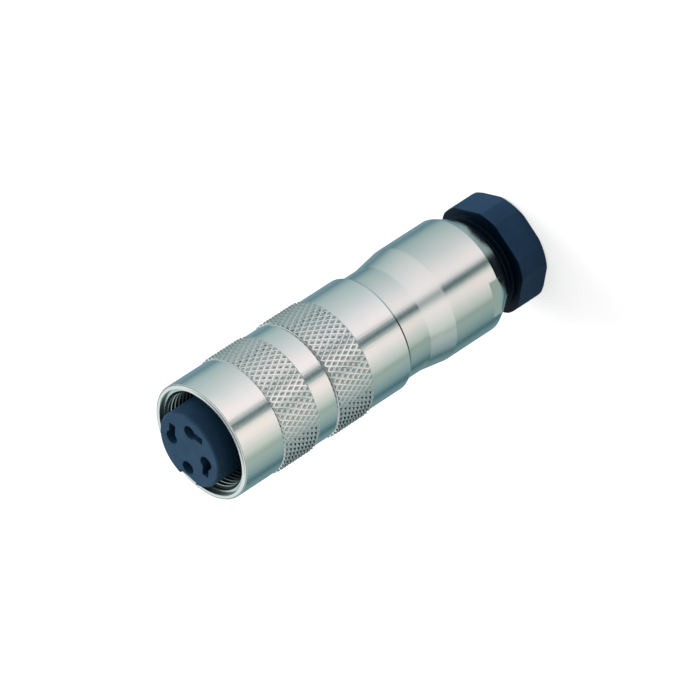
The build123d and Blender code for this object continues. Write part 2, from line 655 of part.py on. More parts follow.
def coupling_ring():
    """Coupling ring: banded and knurled outside, with the thread's bore and a shoulder inside.
    The bore stands for the thread's crests. The lead-in starts outside the thread's roots."""
    core = knurl_core(RING_KNURL_RADIUS)
    blank = turned(
        (RING_BORE_RADIUS, RING_REAR),
        (MIDDLE_BAND_RADIUS, RING_REAR),
        (MIDDLE_BAND_RADIUS, MIDDLE_BAND_TOP),
        (core, MIDDLE_BAND_TOP),
        (core, RING_KNURL_TOP),
        (FRONT_BAND_RADIUS, RING_KNURL_TOP),
        (FRONT_BAND_RADIUS, RING_FACE),
        (MOUTH_RADIUS, RING_FACE),
        (MOUTH_RADIUS, MOUTH_FLOOR),
        (THREAD_MAJOR_RADIUS, MOUTH_FLOOR),
        (THREAD_MINOR_RADIUS, THREAD_TOP),
        (THREAD_MINOR_RADIUS, THREAD_BASE),
        (RELIEF_RADIUS, THREAD_BASE),
        (RELIEF_RADIUS, RING_SHOULDER),
        (RING_BORE_RADIUS, RING_SHOULDER),
        rounds=[((FRONT_BAND_RADIUS, RING_FACE), RIM_ROUND)],
    )
    return blank + knurled(RING_KNURL_RADIUS, MIDDLE_BAND_TOP, RING_KNURL_TOP)


def connector():
    """Every piece of the connector, by name."""
    pieces = {
        "gland_nut": gland_nut(),
        "clamping_cage": clamping_cage(),
        "gland_seal": gland_seal(),
        "rear_housing": rear_housing(),
        "shield_ring": shield_ring(),
        "body_o_ring": body_o_ring(),
        "spacer_half_a": spacer_half(1),
        "spacer_half_b": spacer_half(-1),
        "contact_plate": contact_plate(),
        "contact_insert": contact_insert(),
        "insert_o_ring": insert_o_ring(),
        "front_body": front_body(),
        "front_seal": front_seal(),
        "ring_circlip": ring_circlip(),
        "slip_washer": slip_washer(),
        "coupling_ring": coupling_ring(),
    }
    for i in range(CONTACT_COUNT):
        pieces[f"contact_{i + 1}"] = contact(i)
    return pieces


os.makedirs("parts", exist_ok=True)
for name, piece in connector().items():
    export_step(piece, f"parts/{name}.step")
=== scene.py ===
import logging
from dataclasses import dataclass
from enum import Enum
from math import ceil, cos, hypot, pi, radians, sin, tan
from typing import Callable, Iterable, Optional, Sequence, Union

import bmesh
import bpy
from mathutils import Matrix, Vector


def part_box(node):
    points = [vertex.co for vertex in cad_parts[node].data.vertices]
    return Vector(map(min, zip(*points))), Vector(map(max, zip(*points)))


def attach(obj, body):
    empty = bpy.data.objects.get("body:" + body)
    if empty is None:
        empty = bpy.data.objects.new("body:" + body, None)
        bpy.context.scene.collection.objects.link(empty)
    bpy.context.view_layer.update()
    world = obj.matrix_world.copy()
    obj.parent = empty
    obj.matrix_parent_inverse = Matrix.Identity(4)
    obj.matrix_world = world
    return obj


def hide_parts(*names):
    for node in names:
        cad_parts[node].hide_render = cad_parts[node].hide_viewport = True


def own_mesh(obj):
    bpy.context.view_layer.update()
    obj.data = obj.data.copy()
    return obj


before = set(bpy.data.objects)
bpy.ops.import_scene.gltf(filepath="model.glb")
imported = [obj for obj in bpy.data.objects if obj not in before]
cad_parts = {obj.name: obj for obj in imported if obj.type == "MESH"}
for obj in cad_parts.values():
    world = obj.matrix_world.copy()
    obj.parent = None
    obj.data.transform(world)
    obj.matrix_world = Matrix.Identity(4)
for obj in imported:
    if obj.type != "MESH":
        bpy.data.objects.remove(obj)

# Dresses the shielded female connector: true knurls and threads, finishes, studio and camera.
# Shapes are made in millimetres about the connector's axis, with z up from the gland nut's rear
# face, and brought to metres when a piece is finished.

log = logging.getLogger("connector")

MM = 0.001
ROUND_STEPS = 192
THREAD_STEPS = 120
MERGE_DISTANCE = 0.0005
KNURL_RUNOUT = 0.02
THREAD_RUN_IN = 1.5

Station = tuple[float, float]
Span = tuple[float, float]
Colour = tuple[float, float, float]
Stop = tuple[float, Colour]
Operand = Union["Signal", float]
Settings = Optional[dict[str, object]]
Inputs = Optional[dict[Union[str, int], object]]


class Body(Enum):
    """The moving bodies that new pieces ride on."""

    NUT = "nut"
    SHELL = "shell"
    RING = "ring"


class Slot(Enum):
    """The record's material slots, named for each new piece but not used to give it its finish."""

    RING_PLATING = "ring_plating"
    HOUSING_PLATING = "housing_plating"
    INSERT_PLASTIC = "insert_plastic"
    GLAND_PLASTIC = "gland_plastic"
    SEAL_RUBBER = "seal_rubber"


class Signal:
    """A node's output that Python's operators work on."""

    def __init__(self, maker: "NodeMaker", socket: bpy.types.NodeSocket) -> None:
        """Wraps an output of one of the maker's nodes."""
        self.maker = maker
        self.socket = socket

    def _join(self, operation: str, first: Operand, second: Operand) -> "Signal":
        """One Math node on two operands."""
        return self.maker.value("ShaderNodeMath", {"operation": operation}, {0: first, 1: second})

    def __add__(self, other: Operand) -> "Signal":
        """self + other."""
        return self._join("ADD", self, other)

    def __radd__(self, other: Operand) -> "Signal":
        """other + self."""
        return self._join("ADD", other, self)

    def __sub__(self, other: Operand) -> "Signal":
        """self - other."""
        return self._join("SUBTRACT", self, other)

    def __rsub__(self, other: Operand) -> "Signal":
        """other - self."""
        return self._join("SUBTRACT", other, self)

    def __mul__(self, other: Operand) -> "Signal":
        """self * other."""
        return self._join("MULTIPLY", self, other)

    def __rmul__(self, other: Operand) -> "Signal":
        """other * self."""
        return self._join("MULTIPLY", other, self)

    def __truediv__(self, other: Operand) -> "Signal":
        """self / other."""
        return self._join("DIVIDE", self, other)

    def __neg__(self) -> "Signal":
        """-self."""
        return self._join("MULTIPLY", self, -1.0)

    def at_least(self, other: Operand) -> "Signal":
        """The larger of the two."""
        return self._join("MAXIMUM", self, other)

    def smooth(self, low: float, high: float) -> "Signal":
        """A soft step from 0 at low to 1 at high.

        Args:
            low: Where the step starts.
            high: Where it ends.

        Returns:
            The step.
        """
        settings = {"interpolation_type": "SMOOTHSTEP", "clamp": True}
        inputs = {"Value": self, "From Min": low, "From Max": high}
        return self.maker.value("ShaderNodeMapRange", settings, inputs)


class NodeMaker:
    """Makes nodes in one tree."""

    def __init__(self, tree: bpy.types.NodeTree) -> None:
        """Empties a material's or the world's tree and works in it."""
        self.tree = tree
        tree.nodes.clear()

    def node(self, kind: str, settings: Settings = None, inputs: Inputs = None) -> bpy.types.Node:
        """Makes one node, first its settings and then its sockets.

        Args:
            kind: The node's type.
            settings: Its properties. stops is a ramp's list of (place, colour).
            inputs: Values or signals, by the socket's name or number.

        Returns:
            The node.
        """
        made = self.tree.nodes.new(kind)
        for name, setting in (settings or {}).items():
            if name == "stops":
                self._set_stops(made, setting)
            else:
                setattr(made, name, setting)
        for key, given in (inputs or {}).items():
            socket = made.inputs[key]
            if isinstance(given, Signal):
                self.tree.links.new(given.socket, socket)
            else:
                socket.default_value = given
        return made

    def _set_stops(self, ramp: bpy.types.Node, stops: Sequence[Stop]) -> None:
        """Gives a colour ramp its stops.

        Args:
            ramp: The ramp's node.
            stops: Places from 0 to 1 and their colours, in order.
        """
        elements = ramp.color_ramp.elements
        while len(elements) < len(stops):
            elements.new(1.0)
        for element, (place, colour) in zip(elements, stops):
            element.position = place
            element.color = (*colour, 1.0)

    def value(
        self, kind: str, settings: Settings = None, inputs: Inputs = None, output: Union[str, int] = 0
    ) -> Signal:
        """Makes one node and wraps one of its outputs, by name or number."""
        return Signal(self, self.node(kind, settings, inputs).outputs[output])

    def split(self, vector: Signal) -> tuple[Signal, Signal, Signal]:
        """A vector's three parts."""
        node = self.node("ShaderNodeSeparateXYZ", None, {0: vector})
        return Signal(self, node.outputs[0]), Signal(self, node.outputs[1]), Signal(self, node.outputs[2])

    def rays(self) -> tuple[Signal, Signal]:
        """Masks for what the camera sees, straight or through glass, and for what is mirrored."""
        path = self.node("ShaderNodeLightPath")
        straight = Signal(self, path.outputs["Is Camera Ray"])
        through = Signal(self, path.outputs["Is Transmission Ray"])
        return straight.at_least(through), Signal(self, path.outputs["Is Glossy Ray"])

    def joined(self, x: Operand, y: Operand, z: Operand) -> Signal:
        """A vector from three parts."""
        return self.value("ShaderNodeCombineXYZ", None, {0: x, 1: y, 2: z})

    def mixed(self, share: Operand, low: object, high: object) -> Signal:
        """The colour that lies between two colours or signals: low at share 0 and high at share 1."""
        ends = {key: (*end, 1.0) if isinstance(end, tuple) else end for key, end in ((6, low), (7, high))}
        return self.value("ShaderNodeMix", {"data_type": "RGBA"}, {0: share, **ends}, output=2)

    def place(self) -> Signal:
        """The place on the piece, in millimetres."""
        raw = self.value("ShaderNodeTexCoord", None, None, output="Object")
        return self.value("ShaderNodeVectorMath", {"operation": "SCALE"}, {0: raw, "Scale": 1 / MM})

    def noise(self, vector: Signal, scale: float, detail: float = 2.0, harshness: float = 0.5) -> Signal:
        """Soft noise from 0 to 1.

        Args:
            vector: Where it is read.
            scale: Bumps per unit of vector.
            detail: Octaves.
            harshness: How strong the finer octaves are.

        Returns:
            The noise.
        """
        inputs = {"Vector": vector, "Scale": scale, "Detail": detail, "Roughness": harshness}
        return self.value("ShaderNodeTexNoise", {"noise_dimensions": "3D"}, inputs)

    def bump(self, height: Signal, depth_mm: float) -> Signal:
        """A normal from a height field, in which a step of 1 is depth_mm deep."""
        inputs = {"Strength": 1.0, "Distance": depth_mm * MM, "Height": height}
        return self.value("ShaderNodeBump", None, inputs)


def at_radius(point: Vector, radius: float) -> Vector:
    """A point moved in or out to a radius about the axis."""
    share = radius / hypot(point.x, point.y)
    return Vector((point.x * share, point.y * share, point.z))


def wall(radius: float, *heights: float) -> list[Station]:
    """The stations of a straight wall."""
    return [(radius, height) for height in heights]


def new_material(name: str) -> tuple[bpy.types.Material, NodeMaker]:
    """An empty node material.

    Args:
        name: Its name.

    Returns:
        The material and a maker for its tree.
    """
    material = bpy.data.materials.new(name)
    material.use_nodes = True
    return material, NodeMaker(material.node_tree)


def surface(maker: NodeMaker, inputs: Inputs) -> None:
    """Ends a material in a Principled surface."""
    shader = maker.value("ShaderNodeBsdfPrincipled", None, inputs)
    maker.node("ShaderNodeOutputMaterial", None, {"Surface": shader})


@dataclass(frozen=True)
class PlatedMetal:
    """Satin plating over turned metal: faint tool lines, fine grain and a slow change of tint.

    Inside bore_radius and below bore_top the colour is painted shade, near black, but for floors that face
    up and for a thread's crests near the mouth, which get a lighter painted shade; on the crests it darkens
    with depth.
    """

    name: str
    tint: Colour
    warm_tint: Colour
    # Painted shade deep in the bore, near black.
    painted_shade_tint: Colour = (0.014, 0.02, 0.025)
    # Lighter painted shade on a thread's crests near the mouth and on floors facing up.
    shaded_tint: Colour = (0.46, 0.56, 0.54)
    bore_radius: float = 0.0
    bore_top: float = 0.0
    crest_radius: float = 0.0
    crest_reach: float = 0.09
    bright_depth: float = 3.7
    flat_floor: Span = (0.92, 0.98)
    blur: float = 0.04
    crest_blur: float = 0.05
    roughness: float = 0.18
    grain_mm: float = 0.007
    line_mm: float = 0.0008
    grain_per_mm: float = 5.5
    lines_per_mm: float = 7.0
    clouds_per_mm: float = 0.16
    drawn_out: float = 0.3

    def material(self) -> bpy.types.Material:
        """Makes the material.

        Returns:
            The material.
        """
        material, maker = new_material(self.name)
        place = maker.place()
        x, y, z = maker.split(place)
        flat = maker.joined(x, y, 0.0)
        radius = maker.value("ShaderNodeVectorMath", {"operation": "LENGTH"}, {0: flat}, "Value")
        around = maker.value("ShaderNodeMath", {"operation": "ARCTAN2"}, {0: y, 1: x})
        turned = maker.joined(radius, z, around * self.drawn_out)
        lines = maker.noise(turned, self.lines_per_mm, detail=3.0, harshness=0.65)
        grain = maker.noise(place, self.grain_per_mm, detail=3.0, harshness=0.7)
        cloud = maker.noise(place, self.clouds_per_mm, detail=3.0, harshness=0.55)
        height = grain * (self.grain_mm / self.line_mm) + lines
        rough = self.roughness - 0.05 + 0.06 * grain + 0.04 * cloud
        plating = maker.mixed(cloud.smooth(0.3, 0.7), self.tint, self.warm_tint)
        if self.bore_radius:
            # Painted shade: inside the bore the plating colour gives way to a near-black tint, and on crests
            # near the mouth and floors facing up to a lighter painted shade.
            below = (self.bore_top - z).smooth(0.0, self.blur)
            inside = (self.bore_radius - radius).smooth(0.0, self.blur) * below
            crest = (self.crest_radius + self.crest_reach - radius).smooth(0.0, self.crest_blur)
            near = (z - self.bore_top + self.bright_depth).smooth(0.0, 0.7 * self.bright_depth)
            _, _, up = maker.split(maker.value("ShaderNodeNewGeometry", None, None, "Normal"))
            bright = (crest * near).at_least(up.smooth(*self.flat_floor))
            dressed = maker.mixed(bright, self.painted_shade_tint, self.shaded_tint)
            plating = maker.mixed(inside, plating, dressed)
        inputs = {
            "Base Color": plating,
            "Metallic": 1.0,
            "Roughness": rough,
            "Normal": maker.bump(height, self.line_mm),
        }
        surface(maker, inputs)
        return material


@dataclass(frozen=True)
class MouldedPlastic:
    """Moulded plastic with a fine eroded grain and faint flow marks.

    Above a given height the colour is darkened to painted shade.
    """

    name: str
    colour: Colour
    pale_colour: Colour
    roughness: float
    grain_mm: float = 0.012
    grain_per_mm: float = 6.0
    specks_per_mm: float = 11.4
    flows_per_mm: float = 0.35
    gloss: float = 0.5
    painted_shade_from: Optional[float] = None
    painted_shade_colour: Colour = (0.0, 0.008, 0.02)
    painted_shade_blur: float = 0.1

    def material(self) -> bpy.types.Material:
        """Makes the material.

        Returns:
            The material.
        """
        material, maker = new_material(self.name)
        place = maker.place()
        grain = maker.noise(place, self.grain_per_mm, detail=4.0, harshness=0.65)
        speckle = maker.noise(place, self.specks_per_mm)
        flow = maker.noise(place, self.flows_per_mm, detail=3.0, harshness=0.6)
        share = speckle.smooth(0.35, 0.8) * 0.6 + flow.smooth(0.35, 0.75) * 0.4
        colour = maker.mixed(share, self.colour, self.pale_colour)
        if self.painted_shade_from is not None:
            # Painted shade: the colour darkens above a height.
            _, _, z = maker.split(place)
            painted_shade_share = (z - self.painted_shade_from).smooth(0.0, self.painted_shade_blur)
            colour = maker.mixed(painted_shade_share, colour, self.painted_shade_colour)
        inputs = {
            "Base Color": colour,
            "Roughness": self.roughness - 0.08 + 0.16 * grain,
            "Specular IOR Level": self.gloss,
            "Normal": maker.bump(grain, self.grain_mm),
        }
        surface(maker, inputs)
        return material


@dataclass(frozen=True)
class SealRubber:
    """Matt black rubber with a dusty bloom."""

    name: str
    colour: Colour
    bloom: Colour
    roughness: float = 0.62
    pore_mm: float = 0.01
    pores_per_mm: float = 9.0
    dust_per_mm: float = 1.4

    def material(self) -> bpy.types.Material:
        """Makes the material.

        Returns:
            The material.
        """
        material, maker = new_material(self.name)
        place = maker.place()
        dust = maker.noise(place, self.dust_per_mm, detail=4.0, harshness=0.7)
        pores = maker.noise(place, self.pores_per_mm, harshness=0.6)
        inputs = {
            "Base Color": maker.mixed(dust.smooth(0.4, 0.75) * 0.5, self.colour, self.bloom),
            "Roughness": self.roughness + 0.12 * pores,
            "Normal": maker.bump(pores, self.pore_mm),
        }
        surface(maker, inputs)
        return material


class Finishes:
    """Every finish of the connector, made once."""

    def __init__(self) -> None:
        """Makes the materials."""
        nickel = ((0.74, 0.75, 0.74), (0.79, 0.765, 0.745))
        # The ring's mouth: its bore and thread get painted shade.
        mouth = {"bore_radius": 8.6, "bore_top": 61.34, "crest_radius": 7.6}
        self.ring_nickel = PlatedMetal("ring_nickel", *nickel, **mouth).material()
        self.body_nickel = PlatedMetal("body_nickel", (0.71, 0.72, 0.72), (0.75, 0.74, 0.725)).material()
        self.housing_nickel = PlatedMetal("housing_nickel", (0.65, 0.67, 0.66), (0.7, 0.69, 0.67)).material()
        self.inner_nickel = PlatedMetal("inner_nickel", (0.68, 0.69, 0.67), (0.7, 0.66, 0.6)).material()
        self.gold = PlatedMetal("contact_gold", (0.9, 0.66, 0.3), (0.86, 0.56, 0.24)).material()
        self.spring = PlatedMetal("spring_steel", (0.42, 0.43, 0.45), (0.36, 0.36, 0.37)).material()
        insert_blue = ((0.009, 0.041, 0.088), (0.026, 0.078, 0.138))
        self.insert = MouldedPlastic("insert_plastic", *insert_blue, roughness=0.56, gloss=0.2).material()
        gland_blue = ((0.0185, 0.057, 0.124), (0.034, 0.092, 0.178))
        # The nut's head front face and thread get painted shade above z 5.1, where the housing shades them.
        nut = MouldedPlastic("nut_plastic", *gland_blue, roughness=0.5, gloss=0.1, painted_shade_from=5.1)
        self.nut = nut.material()
        self.gland = MouldedPlastic("gland_plastic", *gland_blue, roughness=0.45, gloss=0.22).material()
        spacer_grey = ((0.55, 0.55, 0.52), (0.63, 0.62, 0.58))
        self.spacer = MouldedPlastic("spacer_plastic", *spacer_grey, roughness=0.5).material()
        washer_white = ((0.82, 0.82, 0.78), (0.88, 0.87, 0.84))
        self.washer = MouldedPlastic("washer_plastic", *washer_white, roughness=0.35).material()
        self.rubber = SealRubber("seal_rubber", (0.02, 0.021, 0.023), (0.07, 0.07, 0.072)).material()


class Shape:
    """A closed mesh in the making, in millimetres."""

    def __init__(self) -> None:
        """Starts empty."""
        self.mesh = bmesh.new()

    @property
    def everything(self) -> list[bmesh.types.BMVert | bmesh.types.BMEdge | bmesh.types.BMFace]:
        """Every vertex, edge and face."""
        return [*self.mesh.verts, *self.mesh.edges, *self.mesh.faces]

    def turn(self, outline: Sequence[Station]) -> None:
        """Spins a closed outline about the axis.

        Args:
            outline: Corners as (radius, height).
        """
        corners = [self.mesh.verts.new((radius, 0.0, height)) for radius, height in outline]
        pairs = zip(corners, corners[1:] + corners[:1])
        edges = [self.mesh.edges.new(pair) for pair in pairs]
        self._spin(corners + edges, 2 * pi, ROUND_STEPS, 0.0, True)

    def _spin(self, geometry: list, angle: float, steps: int, rise: float, merge: bool) -> None:
        """Spins geometry about the axis.

        Args:
            geometry: The vertices and edges that turn.
            angle: How far, in radians.
            steps: In how many steps.
            rise: How far each step climbs.
            merge: Whether the last step closes on the first.
        """
        bmesh.ops.spin(
            self.mesh,
            geom=geometry,
            cent=(0, 0, 0),
            axis=(0, 0, 1),
            dvec=(0, 0, rise),
            angle=angle,
            steps=steps,
            use_merge=merge,
        )
        self.merge()

    def merge(self) -> None:
        """Joins vertices that meet."""
        bmesh.ops.remove_doubles(self.mesh, verts=self.mesh.verts, dist=MERGE_DISTANCE)

    def cut(self, place: Sequence[float], normal: Sequence[float], clear: bool) -> list[bmesh.types.BMEdge]:
        """Cuts the mesh by a plane.

        Args:
            place: A point on the plane.
            normal: The plane's normal.
            clear: Whether what lies in front of the plane goes.

        Returns:
            The edges in the plane.
        """
        made = bmesh.ops.bisect_plane(
            self.mesh,
            geom=self.everything,
            dist=MERGE_DISTANCE / 10,
            plane_co=place,
            plane_no=normal,
            clear_outer=clear,
        )
        return [part for part in made["geom_cut"] if isinstance(part, bmesh.types.BMEdge)]

    def trim(self, low: float, high: float) -> None:
        """Keeps what lies between two heights."""
        self.cut((0, 0, low), (0, 0, -1), True)
        self.cut((0, 0, high), (0, 0, 1), True)

    def open_loop(self, height: float) -> list[bmesh.types.BMEdge]:
        """The open edges at a height."""
        near = 2 * MERGE_DISTANCE
        return [
            edge
            for edge in self.mesh.edges
            if edge.is_boundary and all(abs(vertex.co.z - height) < near for vertex in edge.verts)
        ]

    def grow(self, start: float, stations: Iterable[Station]) -> None:
        """Carries the open round edge at a height on through stations.

        Args:
            start: The height of the open edge.
            stations: Where the wall goes next, as (radius, height).
        """
        loop = self.open_loop(start)
        for radius, height in stations:
            made = bmesh.ops.extrude_edge_only(self.mesh, edges=loop)["geom"]
            fresh = {part for part in made if isinstance(part, bmesh.types.BMVert)}
            edges = (part for part in made if isinstance(part, bmesh.types.BMEdge))
            loop = [edge for edge in edges if set(edge.verts) <= fresh]
            for vertex in fresh:
                vertex.co = at_radius(vertex.co, radius)
                vertex.co.z = height

    def close(self, height: float) -> None:
        """Joins the two open round edges at a height with a flat wall."""
        bmesh.ops.bridge_loops(self.mesh, edges=self.open_loop(height))

    def take(self, other: "Shape") -> None:
        """Adds another shape to this one.

        Args:
            other: The shape, which is used up.
        """
        carried = bpy.data.meshes.new("carried")
        other.mesh.to_mesh(carried)
        other.mesh.free()
        self.mesh.from_mesh(carried)
        bpy.data.meshes.remove(carried)

    def thread(
        self, root: float, crest: float, flanks: Sequence[float], pitch: float, low: float, high: float
    ) -> None:
        """Spins a thread's profile up a right-handed helix, and trims it flat at both ends.

        Args:
            root: The radius of its root.
            crest: The radius of its crest.
            flanks: The shares of the pitch at which each of the two flanks starts and ends.
            pitch: The rise of one turn.
            low: The lower end.
            high: The upper end.
        """
        base = low - THREAD_RUN_IN * pitch
        turns = ceil((high - base) / pitch) + 1
        profile = zip((root, root, crest, crest, root, root), (0.0, *flanks, 1.0))
        points = [self.mesh.verts.new((radius, 0.0, base + share * pitch)) for radius, share in profile]
        edges = [self.mesh.edges.new(pair) for pair in zip(points, points[1:])]
        steps = turns * THREAD_STEPS
        self._spin(points + edges, 2 * pi * turns, steps, pitch / THREAD_STEPS, False)
        self.trim(low, high)

    def move(self, rule: Callable[[Vector], Vector]) -> None:
        """Moves every vertex by a rule from place to place."""
        for vertex in self.mesh.verts:
            vertex.co = rule(vertex.co)

    def ease(self, offset: float, keep: Callable[[Vector], bool], sharp: float, steps: int = 2) -> None:
        """Rounds sharp edges.

        Args:
            offset: How far from the edge the round starts.
            keep: Tells from an edge's middle whether it is rounded.
            sharp: The least angle that counts as an edge, in degrees.
            steps: Faces across the round.
        """
        edges = []
        for edge in self.mesh.edges:
            middle = (edge.verts[0].co + edge.verts[1].co) / 2
            if len(edge.link_faces) == 2 and edge.calc_face_angle(0.0) > radians(sharp) and keep(middle):
                edges.append(edge)
        bmesh.ops.bevel(
            self.mesh,
            geom=edges,
            offset=offset,
            offset_type="OFFSET",
            segments=steps,
            profile=0.5,
            affect="EDGES",
            clamp_overlap=True,
            material=-1,
        )

    def finish(self, name: str, material: bpy.types.Material, sharp: float = 32.0) -> bpy.types.Object:
        """Makes the object, in metres, with its place in its mesh.

        Args:
            name: The piece's name.
            material: Its finish.
            sharp: The angle past which an edge shows sharp, in degrees.

        Returns:
            The object.
        """
        self.merge()
        bmesh.ops.dissolve_degenerate(self.mesh, dist=MERGE_DISTANCE / 5, edges=self.mesh.edges)
        bmesh.ops.recalc_face_normals(self.mesh, faces=self.mesh.faces)
        open_edges = sum(1 for edge in self.mesh.edges if len(edge.link_faces) != 2)
        bmesh.ops.scale(self.mesh, vec=(MM, MM, MM), verts=self.mesh.verts)
        data = bpy.data.meshes.new(name)
        self.mesh.to_mesh(data)
        self.mesh.free()
        data.polygons.foreach_set("use_smooth", [True] * len(data.polygons))
        data.set_sharp_from_angle(angle=radians(sharp))
        data.materials.append(material)
        made = bpy.data.objects.new(name, data)
        bpy.context.scene.collection.objects.link(made)
        shading = made.modifiers.new("even_shading", "WEIGHTED_NORMAL")
        shading.keep_sharp = True
        triangles = sum(len(face.vertices) - 2 for face in data.polygons)
        log.info("%s: %d triangles, %d open edges", name, triangles, open_edges)
        return made


def settle(piece: bpy.types.Object, body: Body, slot: Slot, *nodes: str) -> None:
    """Puts a finished piece in the frame.

    Args:
        piece: The piece.
        body: What it moves with.
        slot: Its material slot; not used.
        nodes: The solids it stands for.
    """
    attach(piece, body.value)
    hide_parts(*nodes)


def levels(node: str) -> tuple[float, float]:
    """A node's lowest and highest z, in millimetres."""
    low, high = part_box(node)
    return low.z / MM, high.z / MM


@dataclass
class Knurl:
    """A band of diamond knurling: blunt pyramids between two sets of crossing, flat-floored grooves."""

    crest_radius: float
    low: float
    high: float
    columns: int = 60
    axial_pitch: float = 1.64
    depth: float = 0.33
    groove_half_width: float = 0.1
    groove_rise: float = 0.02
    flank_width: float = 0.26
    undercut: float = 0.05

    @property
    def floor_radius(self) -> float:
        """The radius of the grooves' floors."""
        return self.crest_radius - self.depth

    @property
    def end_radius(self) -> float:
        """The radius at which the band's ends meet the plain bands."""
        return self.floor_radius - self.undercut

    def build(self, shape: Shape) -> None:
        """Makes the band as an open sheet round the axis.

        Args:
            shape: Takes the sheet. It must be empty.
        """
        mesh = shape.mesh
        column = 2 * pi * self.crest_radius / self.columns
        row = self.axial_pitch / 2
        size = Matrix.Diagonal((column / 2, row, 1.0, 1.0))
        for j in range(-1, ceil((self.high - self.low) / row) + 2):
            for i in range(self.columns):
                centre = Matrix.Translation(((i + (j % 2) / 2) * column, self.low + j * row, 0.0))
                bmesh.ops.create_circle(mesh, cap_ends=True, segments=4, radius=1.0, matrix=centre @ size)
        shape.merge()
        bmesh.ops.recalc_face_normals(mesh, faces=mesh.faces)
        tops = mesh.faces[:]
        if tops[0].normal.z < 0:
            bmesh.ops.reverse_faces(mesh, faces=tops)
        flank = (self.flank_width, self.depth - self.groove_rise)
        for width, rise in ((self.groove_half_width, self.groove_rise), flank):
            bmesh.ops.inset_individual(mesh, faces=tops, thickness=width, depth=rise, use_even_offset=True)
        shape.cut((0, self.low, 0), (0, -1, 0), True)
        shape.cut((0, self.high, 0), (0, 1, 0), True)
        shape.move(self._wrapped)
        shape.merge()

    def _wrapped(self, flat: Vector) -> Vector:
        """Where a point of the flat sheet lies round the axis."""
        angle = flat.x / self.crest_radius
        radius = self.floor_radius + flat.z
        return Vector((radius * cos(angle), radius * sin(angle), flat.y))


@dataclass
class CouplingRing:
    """The coupling ring: knurl, plain bands, rounded rim, stepped mouth and the mating thread."""

    band_radius: float = 9.25
    middle_radius: float = 9.22
    knurl_radius: float = 9.5
    rim_round: float = 0.4
    mouth_radius: float = 8.5
    mouth_depth: float = 0.63
    lead_in: float = 0.4
    thread_major: float = 8.0
    thread_minor: float = 7.6
    thread_pitch: float = 0.75
    thread_flanks: tuple[float, ...] = (0.1, 0.44, 0.6, 0.94)
    thread_length: float = 7.47
    relief_radius: float = 8.15
    relief_length: float = 3.85
    bore_radius: float = 7.3
    front_band_length: float = 7.85
    middle_band_length: float = 3.9
    knurl_gap: float = 0.12
    bevel_drop: float = 0.12
    bevel_length: float = 0.3
    edge: float = 0.07

    def build(self, finishes: Finishes) -> bpy.types.Object:
        """Builds and dresses the ring.

        Args:
            finishes: The connector's finishes.

        Returns:
            The ring.
        """
        rear, face = levels("coupling_ring")
        low = rear + self.middle_band_length + self.knurl_gap
        high = face - self.front_band_length - self.knurl_gap
        knurl = Knurl(self.knurl_radius, low, high)
        shape = Shape()
        knurl.build(shape)
        self._front_band(shape, knurl, face)
        self._middle_band(shape, knurl, rear)
        shape.take(self._bore(rear, face))
        shape.close(face - self.mouth_depth)
        shape.close(rear)
        ring = shape.finish("coupling_ring_knurled", finishes.ring_nickel, sharp=18.0)
        settle(ring, Body.RING, Slot.RING_PLATING, "coupling_ring")
        return ring

    def _front_band(self, shape: Shape, knurl: Knurl, face: float) -> None:
        """The front band, the rim and the mouth's wall, down to its floor.

        Args:
            shape: The ring.
            knurl: Its knurl.
            face: The height of the ring's face.
        """
        start, edge = knurl.high, self.edge
        rise = start + self.knurl_gap
        floor = face - self.mouth_depth
        stations = wall(knurl.end_radius, start + KNURL_RUNOUT, rise)
        stations += [(self.band_radius - self.bevel_drop, rise)]
        stations += wall(self.band_radius, rise + self.bevel_length, face - self.rim_round)
        stations += [*self._rim(face), (self.mouth_radius + edge, face)]
        stations += wall(self.mouth_radius, face - edge, floor + edge)
        stations += [(self.mouth_radius - edge / 2, floor)]
        shape.grow(start, stations)

    def _rim(self, face: float, steps: int = 6) -> list[Station]:
        """The rounded rim's stations."""
        centre = self.band_radius - self.rim_round
        angles = [pi / 2 * step / steps for step in range(1, steps + 1)]
        return [
            (centre + self.rim_round * cos(angle), face - self.rim_round + self.rim_round * sin(angle))
            for angle in angles
        ]

    def _middle_band(self, shape: Shape, knurl: Knurl, rear: float) -> None:
        """The middle band down to the ring's rear face.

        Args:
            shape: The ring.
            knurl: Its knurl.
            rear: The height of the rear face.
        """
        start, edge = knurl.low, self.edge
        fall = start - self.knurl_gap
        stations = wall(knurl.end_radius, start - KNURL_RUNOUT, fall)
        stations += [(self.middle_radius - edge, fall)]
        stations += wall(self.middle_radius, fall - edge, rear + self.bevel_length)
        stations += [(self.middle_radius - self.bevel_drop, rear)]
        shape.grow(start, stations)

    def _bore(self, rear: float, face: float) -> Shape:
        """The threaded bore, its relief and the shoulder that bears on the slip washer.

        Args:
            rear: The height of the rear face.
            face: The height of the front face.

        Returns:
            The bore, open at the mouth's floor and at the rear face.
        """
        floor = face - self.mouth_depth
        base = floor - self.lead_in - self.thread_length
        shoulder = base - self.relief_length
        bore = Shape()
        radii = (self.thread_major, self.thread_minor)
        bore.thread(*radii, self.thread_flanks, self.thread_pitch, base, floor)
        bore.move(lambda point: self._led_in(point, floor))
        foot = wall(self.relief_radius, base, shoulder)
        foot += wall(self.bore_radius, shoulder, rear + self.edge)
        bore.grow(base, [*foot, (self.bore_radius + self.edge, rear)])
        return bore

    def _led_in(self, point: Vector, floor: float) -> Vector:
        """Opens the thread's crests into the lead-in cone."""
        cone = self.thread_major - (floor - point.z)
        return at_radius(point, max(hypot(point.x, point.y), cone, self.thread_minor))


